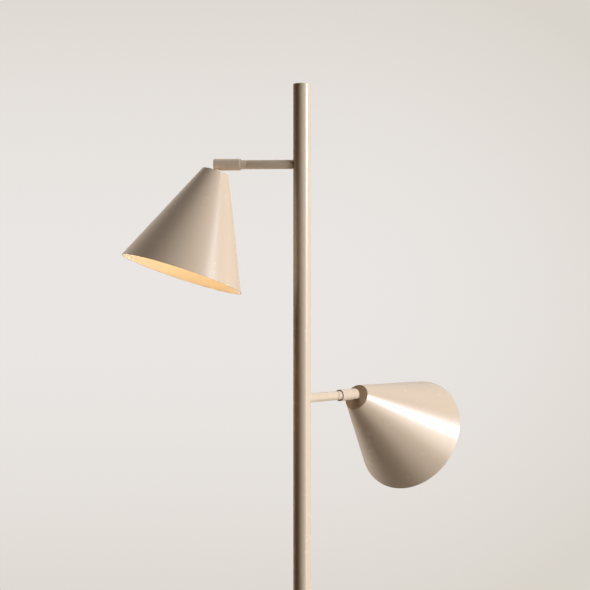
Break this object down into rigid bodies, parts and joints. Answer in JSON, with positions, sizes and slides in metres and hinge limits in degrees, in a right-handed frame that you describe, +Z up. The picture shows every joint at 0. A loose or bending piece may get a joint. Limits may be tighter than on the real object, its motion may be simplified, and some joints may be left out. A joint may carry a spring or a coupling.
{
  "type": "floor lamp",
  "caption": "Floor lamp with a slim round pole on a weighted base and short arms that carry swivelling, tilting cone shades.",
  "frame": {"origin": "centre of the base's underside, on the floor and on the pole's axis", "axes": "+Z up along the pole, -Y towards the viewer of the picture, +X to the viewer's right; the upper arm points to the left, the lower arm to the right and back"},
  "size_m": [0.3758, 0.3309, 1.45],
  "materials": {
    "sand_lacquer": "satin",
    "steel": "satin",
    "brass": "satin",
    "cast_iron": "matte",
    "felt": "matte",
    "black_rubber": "matte",
    "black_plastic": "matte",
    "white_nylon": "matte",
    "wire_sheath": "satin",
    "opal_glass": "matte"
  },
  "bodies": {
    "stand": {"base_pad": "felt", "base_weight": "cast_iron", "base_cover": "sand_lacquer", "base_nipple": "steel", "base_nut": "steel", "base_washer": "steel", "cable_grommet": "black_rubber", "pole_foot": "steel", "lower_pole_tube": "sand_lacquer", "pole_coupler": "steel", "upper_pole_tube": "sand_lacquer", "top_cap": "sand_lacquer", "main_cable": "black_rubber", "cable_splice": "black_plastic", "upper_feed_wire": "wire_sheath", "lower_feed_wire": "wire_sheath", "upper_arm_anchor": "steel", "upper_arm_stud": "steel", "upper_arm_tube": "sand_lacquer", "upper_swivel_neck": "sand_lacquer", "upper_swivel_washer": "white_nylon", "upper_swivel_spring": "steel", "upper_swivel_nut": "brass", "upper_stop_pin": "steel", "lower_arm_anchor": "steel", "lower_arm_stud": "steel", "lower_arm_tube": "sand_lacquer", "lower_swivel_neck": "sand_lacquer", "lower_swivel_washer": "white_nylon", "lower_swivel_spring": "steel", "lower_swivel_nut": "brass", "lower_stop_pin": "steel"},
    "upper_swivel": {"upper_sleeve": "sand_lacquer", "upper_fork": "cast_iron", "upper_pivot_pins": "steel", "upper_tilt_washers": "white_nylon"},
    "lower_swivel": {"lower_sleeve": "sand_lacquer", "lower_fork": "cast_iron", "lower_pivot_pins": "steel", "lower_tilt_washers": "white_nylon"},
    "upper_head": {"upper_knuckle": "sand_lacquer", "upper_shade": "sand_lacquer", "upper_stem_nut": "steel", "upper_lampholder": "black_plastic", "upper_socket_contacts": "brass", "upper_bulb_cap": "steel", "upper_bulb_body": "white_nylon", "upper_bulb_globe": "opal_glass", "upper_head_wire": "wire_sheath"},
    "lower_head": {"lower_knuckle": "sand_lacquer", "lower_shade": "sand_lacquer", "lower_stem_nut": "steel", "lower_lampholder": "black_plastic", "lower_socket_contacts": "brass", "lower_bulb_cap": "steel", "lower_bulb_body": "white_nylon", "lower_bulb_globe": "opal_glass", "lower_head_wire": "wire_sheath"}
  },
  "joints": [
    {"name": "upper_swivel_turn", "type": "hinge", "parent": "stand", "child": "upper_swivel", "pos_m": [0, 0, 1.3637], "axis": [-0.9986, 0.0523, 0], "range_deg": [-166.7, 153.3]},
    {"name": "upper_shade_tilt", "type": "hinge", "parent": "upper_swivel", "child": "upper_head", "pos_m": [-0.09038, 0.00474, 1.3637], "axis": [-0.052, -0.9918, 0.1167], "range_deg": [-72.5, 17.5]},
    {"name": "lower_swivel_turn", "type": "hinge", "parent": "stand", "child": "lower_swivel", "pos_m": [0, 0, 1.1124], "axis": [0.6293, 0.7771, 0], "range_deg": [-160, 160]},
    {"name": "lower_shade_tilt", "type": "hinge", "parent": "lower_swivel", "child": "lower_head", "pos_m": [0.05695, 0.07033, 1.1124], "axis": [-0.7771, 0.6293, 0], "range_deg": [-25, 65]}
  ]
}
